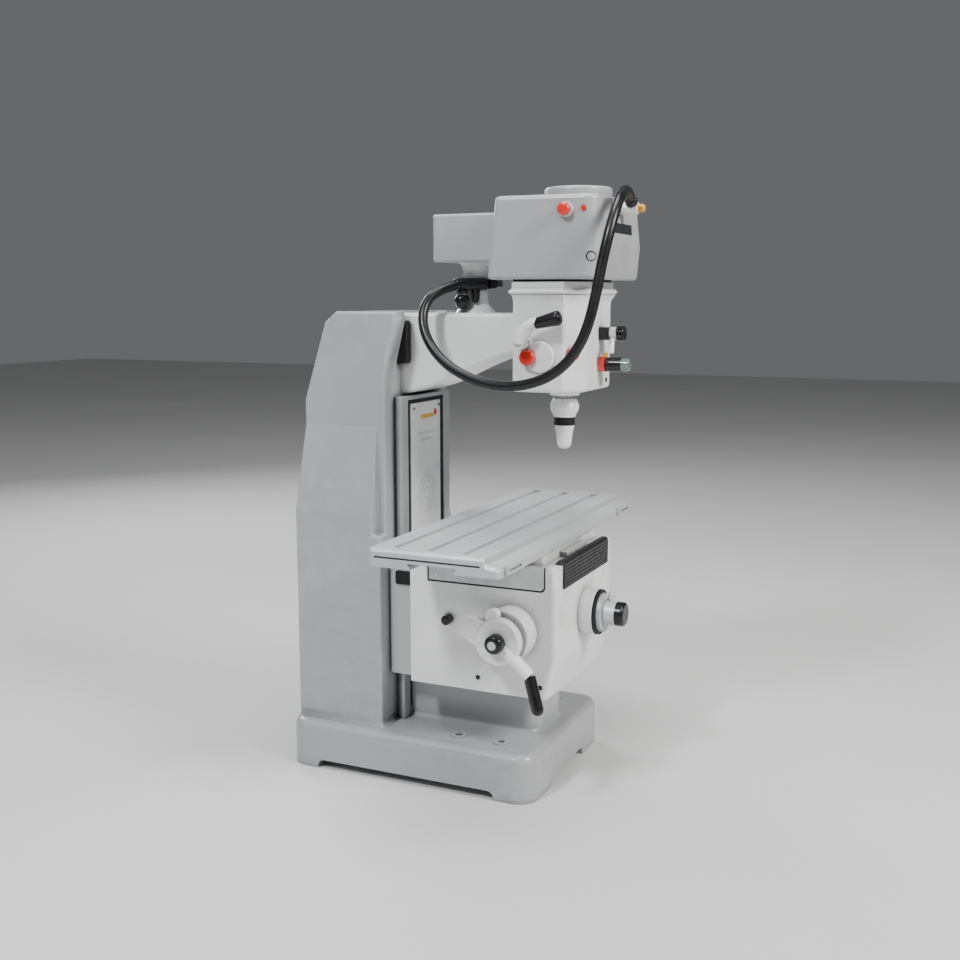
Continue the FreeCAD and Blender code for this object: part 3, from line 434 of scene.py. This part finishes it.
def cove(name, corners, height, radius, material, body):
    """The hollow fillet that blends upright walls into the surface below them, along a wall path."""
    turn_steps, arc_steps, sunk = 6, 8, 0.0005
    corners = [Vector(corner) for corner in corners]
    ways = [after - before for before, after in zip(corners, corners[1:])]
    sides = [math.atan2(-way.x, way.y) for way in ways]
    stations = []
    for n, corner in enumerate(corners):
        first, last = sides[max(n - 1, 0)], sides[min(n, len(sides) - 1)]
        if abs(last - first) > math.pi:
            last += FULL_TURN if last < first else -FULL_TURN
        steps = turn_steps if abs(last - first) > 0.01 else 0
        for step in range(steps + 1):
            turn = first + (last - first) * step / max(steps, 1)
            stations.append((corner, Vector((math.cos(turn), math.sin(turn)))))
    bm = bmesh.new()
    rows = []
    for corner, outward in stations:
        row = []
        for step in range(arc_steps + 1):
            turn = QUARTER_TURN * step / arc_steps
            foot = corner + outward * radius * (1 - math.cos(turn))
            row.append(bm.verts.new((*foot, height + radius * (1 - math.sin(turn)))))
        row.append(bm.verts.new((*(corner - outward * sunk), height - sunk)))
        rows.append(row)
    loft(bm, rows)
    return piece(name, bm, material, body)


HEAD_HALF, HEAD_BACK, HEAD_CUT, HEAD_FRONT, NOSE_HALF = 0.085, -0.1422, -0.216, -0.237, 0.050


def head_plan(bm, grow, height, back):
    """The head's outline at one height, grown outwards."""
    wide, nose, front = HEAD_HALF + grow, NOSE_HALF + grow / 2, HEAD_FRONT - grow
    plan = [(-wide, back), (wide, back), (wide, HEAD_CUT), (nose, front), (-nose, front), (-wide, HEAD_CUT)]
    return [bm.verts.new((x, y, height)) for x, y in plan]


# ---------------------------------------------------------------- small fittings

# The column panel's yellow band, grey bands and plain round badge, with no lettering.
PANEL_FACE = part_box("way_panel")[0].y
BADGE_RINGS, RING_WIDE = (0.028, 0.019, 0.010), 0.0024

bm = bmesh.new()
plate(bm, frame_at((0.003, PANEL_FACE, 0.523), FRONT, RIGHT), 0.040, 0.006, 0.0004, 0.001)
piece("panel_yellow_band", bm, yellow, "frame", False)
bm = bmesh.new()
for z, wide in ((0.498, 0.050), (0.488, 0.040)):
    plate(bm, frame_at((0.0, PANEL_FACE, z), FRONT, RIGHT), wide, 0.0035, 0.0003, 0.0008)
for radius in BADGE_RINGS:
    inside = radius - RING_WIDE
    lathe(bm, [(radius, -0.0002), (radius, 0.0003), (radius - RING_WIDE / 2, 0.0004), (inside, 0.0003),
               (inside, -0.0002)], frame_at((0.0, PANEL_FACE, 0.405), FRONT), 56)
piece("panel_badge", bm, pale, "frame", False)

# Screws that hold the column's panel and the knee's side covers.
screws("panel_screws", [(x, PANEL_FACE, z) for x in (-0.041, 0.041) for z in (0.092, 0.537)], FRONT,
       0.0028, 0.0016, "frame")
for name, outward, corner in zip(("left", "right"), (LEFT, RIGHT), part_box("knee_covers")):
    places = [(corner.x, y, z) for y in (-0.192, -0.038) for z in (0.3095, 0.3275)]
    screws(f"knee_cover_screws_{name}", places, outward, 0.0026, 0.0004, "knee")

# Graduations on the cross handle's dial: raised marks, every fifth one longer, with no numbers.
DIAL_CENTRE, DIAL_ROUND, DIAL_MARKS = Vector((0, -0.2535, 0.249)), 0.028, 50
LONG_MARK, SHORT_MARK = 0.0030, 0.0018

dial_axis = Vector((0, 1, 0))
dial_frame = frame_at(DIAL_CENTRE, dial_axis).to_3x3()
bm = bmesh.new()
for n in range(DIAL_MARKS):
    turn = FULL_TURN * n / DIAL_MARKS
    radial = (dial_frame @ Vector((math.cos(turn), math.sin(turn), 0))).normalized()
    mark = SHORT_MARK if n % 5 else LONG_MARK
    point = DIAL_CENTRE + radial * DIAL_ROUND + dial_axis * mark / 2
    plate(bm, frame_at(point, radial, dial_axis), mark, 0.0006, 0.00018, 0.0002, 1)
piece("cross_dial_marks", bm, black, "cross_knob", False)

# A yellow tag beside the selector, and a drain plug low on the head's front.
HEAD_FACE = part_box("head_casting")[0].y

bm = bmesh.new()
plate(bm, frame_at((0.030, HEAD_FACE, 0.6185), FRONT, RIGHT), 0.022, 0.007, 0.0005, 0.0012)
piece("head_tag", bm, yellow, "frame", False)
bm = bmesh.new()
lathe(bm, [(0.0034, -0.0006), (0.0034, 0.0006), (0.0026, 0.0011), (0.0014, 0.0012)],
      frame_at((0.034, HEAD_FACE, 0.583), FRONT), 28)
piece("head_plug", bm, black, "frame")

# Spring-loaded oil caps low on the knee's side.
bm = bmesh.new()
for y, z in ((-0.104, 0.1665), (-0.199, 0.164)):
    lathe(bm, [(0.0034, -0.0010), (0.0035, 0.0006), (0.0029, 0.0015), (0.0014, 0.0019)],
          frame_at((-0.118, y, z), LEFT), 28)
piece("knee_oil_caps", bm, black, "knee")

# Black rubber-finished blocks in the gaps beside the arm, where it enters the column, standing in for the
# shade in those gaps.
bm = bmesh.new()
for x in (-0.0583, 0.0583):
    plate(bm, frame_at((x, 0.050, 0.636), FRONT, RIGHT), 0.0155, 0.062, 0.016, 0.006)
piece("arm_gap_shade_blocks", bm, rubber, "frame", False)

# Coves where the column's sides and front meet the base.
COVE_ROUND = 0.009
column_low, column_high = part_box("column_casting")
column_side, column_front = column_high.x, 0.051
way_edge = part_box("column_way")[1].x + 0.001

for side, name in ((-1, "column_cove_left"), (1, "column_cove_right")):
    walls = [(side * column_side, column_high.y - 0.004), (side * column_side, column_front),
             (side * way_edge, column_front)]
    cove(name, walls if side < 0 else walls[::-1], column_low.z, COVE_ROUND, paint_grey, "frame")

# The moulding that flares from the head out to the ring above it.
FLARE_LOW, FLARE_TALL, FLARE_OUT, FLARE_IN, FLARE_STEPS = 0.6915, 0.0116, 0.006, 0.004, 8

bm = bmesh.new()
rows = []
for n in range(FLARE_STEPS + 1):
    rise = n / FLARE_STEPS
    grow = FLARE_OUT * (1 - math.cos(QUARTER_TURN * rise))
    rows.append(head_plan(bm, grow, FLARE_LOW + FLARE_TALL * rise, HEAD_BACK))
for height in (FLARE_LOW + FLARE_TALL, FLARE_LOW):
    rows.append(head_plan(bm, -FLARE_IN, height, HEAD_BACK - FLARE_IN))
loft(bm, rows, capped=False)
piece("head_flare", bm, paint_white, "frame", False)

# The feed lever's cranked arm, narrowing to the grip.
ARM_BEND = [(-0.1088, -0.161, 0.637), (-0.1088, -0.162, 0.655), (-0.1085, -0.171, 0.666),
            (-0.107, -0.190, 0.6672)]
ARM_POINTS, ARM_THICK, ARM_THIN = 15, 0.0084, 0.0070

bm = bmesh.new()
tube(bm, interpolate_bezier(*ARM_BEND, ARM_POINTS),
     [ARM_THICK + (ARM_THIN - ARM_THICK) * n / (ARM_POINTS - 1) for n in range(ARM_POINTS)])
piece("feed_lever_arm", bm, paint_white, "feed")

# The clamp's bulb knob, with the boss that it screws into and the clamp's own screw boss beside it.
knob_frame = frame_at((-0.032, -0.040, 0.0), UP)
bm = bmesh.new()
lathe(bm, [(0.0025, 0.6835), (0.0058, 0.6842), (0.0085, 0.6875), (0.0103, 0.6920), (0.0108, 0.6965),
           (0.0098, 0.7005), (0.0075, 0.7030), (0.0045, 0.7038)], knob_frame, 48)
knob = piece("clamp_knob_grip", bm, black, "clamp_knob")
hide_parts("clamp_knob")
bm = bmesh.new()
lathe(bm, [(0.0060, 0.7045), (0.0078, 0.7052), (0.0082, 0.7080), (0.0082, 0.7150)], knob_frame)
lathe(bm, [(0.0028, 0.6925), (0.0046, 0.6935), (0.0055, 0.6985), (0.0062, 0.7060), (0.0068, 0.7140)],
      frame_at((-0.0191, -0.0557, 0.0), UP))
piece("clamp_boss", bm, black, "frame")

# ---------------------------------------------------------------- coolant hose

ROUTE = [
    (-0.0085, -0.283, 0.8285), (-0.024, -0.284, 0.840), (-0.052, -0.287, 0.841), (-0.082, -0.290, 0.828),
    (-0.104, -0.290, 0.806), (-0.117, -0.287, 0.778), (-0.123, -0.281, 0.744), (-0.128, -0.276, 0.707),
    (-0.133, -0.269, 0.670), (-0.138, -0.258, 0.638), (-0.139, -0.235, 0.609), (-0.137, -0.200, 0.589),
    (-0.133, -0.150, 0.580), (-0.124, -0.096, 0.589), (-0.112, -0.046, 0.612), (-0.098, -0.012, 0.648),
    (-0.084, -0.002, 0.684), (-0.066, -0.014, 0.709), (-0.037, -0.038, 0.719),
]
HOSE_LENGTH, HOSE_DIAMETER = 0.684, 0.014

curve = bpy.data.curves.new("hose", "CURVE")
curve.dimensions = "3D"
curve.bevel_depth = HOSE_DIAMETER / 2
curve.bevel_resolution = 8
curve.resolution_u = 14
curve.use_fill_caps = True
curve.materials.append(hose_rubber)
spline = curve.splines.new("NURBS")
spline.points.add(len(ROUTE) - 1)
for point, place in zip(spline.points, ROUTE):
    point.co = (*place, 1)
spline.order_u = 3
spline.use_endpoint_u = True
hose = bpy.data.objects.new("hose", curve)
scene.collection.objects.link(hose)
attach(hose, "frame")
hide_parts("coolant_hose")

# Crimped ferrules where the hose meets its elbow and its gland.
FERRULE = [(0.0073, -0.004), (0.0083, -0.0035), (0.0084, 0.0005), (0.0079, 0.001), (0.0079, 0.002),
           (0.0084, 0.0025), (0.0083, 0.0055), (0.0074, 0.006)]

for name, end, toward in (("hose_ferrule_top", 0, 1), ("hose_ferrule_low", -1, -2)):
    bm = bmesh.new()
    lathe(bm, FERRULE, frame_at(ROUTE[end], Vector(ROUTE[toward]) - Vector(ROUTE[end])), 36)
    piece(name, bm, black, "frame")

# ---------------------------------------------------------------- floor and light

FLOOR_HALF = 9
AIR = (0.86, 0.87, 0.89, 1)

g = Graph("StudioFloor")
cloud = g.ranged(g.noise(1.2, 4), 0.3, 0.7, 0, 1)
g.drive("Base Color", g.mix(cloud, (0.60, 0.60, 0.60), (0.64, 0.64, 0.635)))
g.set("Roughness", 0.75)
floor_mesh = bpy.data.meshes.new("floor")
bm = bmesh.new()
bmesh.ops.create_grid(bm, x_segments=1, y_segments=1, size=FLOOR_HALF)
bm.to_mesh(floor_mesh)
bm.free()
floor_mesh.materials.append(g.material)
floor = bpy.data.objects.new("floor", floor_mesh)
scene.collection.objects.link(floor)

world = bpy.data.worlds.new("Studio")
world.use_nodes = True
background = world.node_tree.nodes["Background"]
background.inputs["Color"].default_value = AIR
background.inputs["Strength"].default_value = 0.16
scene.world = world


def softbox(name, place, target, power, wide, tall, colour=(1, 1, 1)):
    data = bpy.data.lights.new(name, "AREA")
    data.shape = "RECTANGLE"
    data.size, data.size_y = wide, tall
    data.energy = power
    data.color = colour
    light = bpy.data.objects.new(name, data)
    light.location = place
    light.rotation_mode = "QUATERNION"
    light.rotation_quaternion = (Vector(target) - Vector(place)).to_track_quat("-Z", "Y")
    scene.collection.objects.link(light)


softbox("Key", (-0.5, -2.7, 2.3), (0, -0.1, 0.45), 122, 0.9, 0.9, (1.0, 0.99, 0.97))
softbox("SideLeft", (-2.1, 0.5, 2.5), (0, 0, 0.4), 66, 0.35, 0.45, (0.97, 0.985, 1.0))
softbox("Top", (-0.1, 0.0, 2.8), (0, -0.05, 0.4), 46, 1.2, 1.2)
softbox("RimBack", (1.6, 2.0, 1.6), (0, 0, 0.5), 34, 1.0, 1.0)
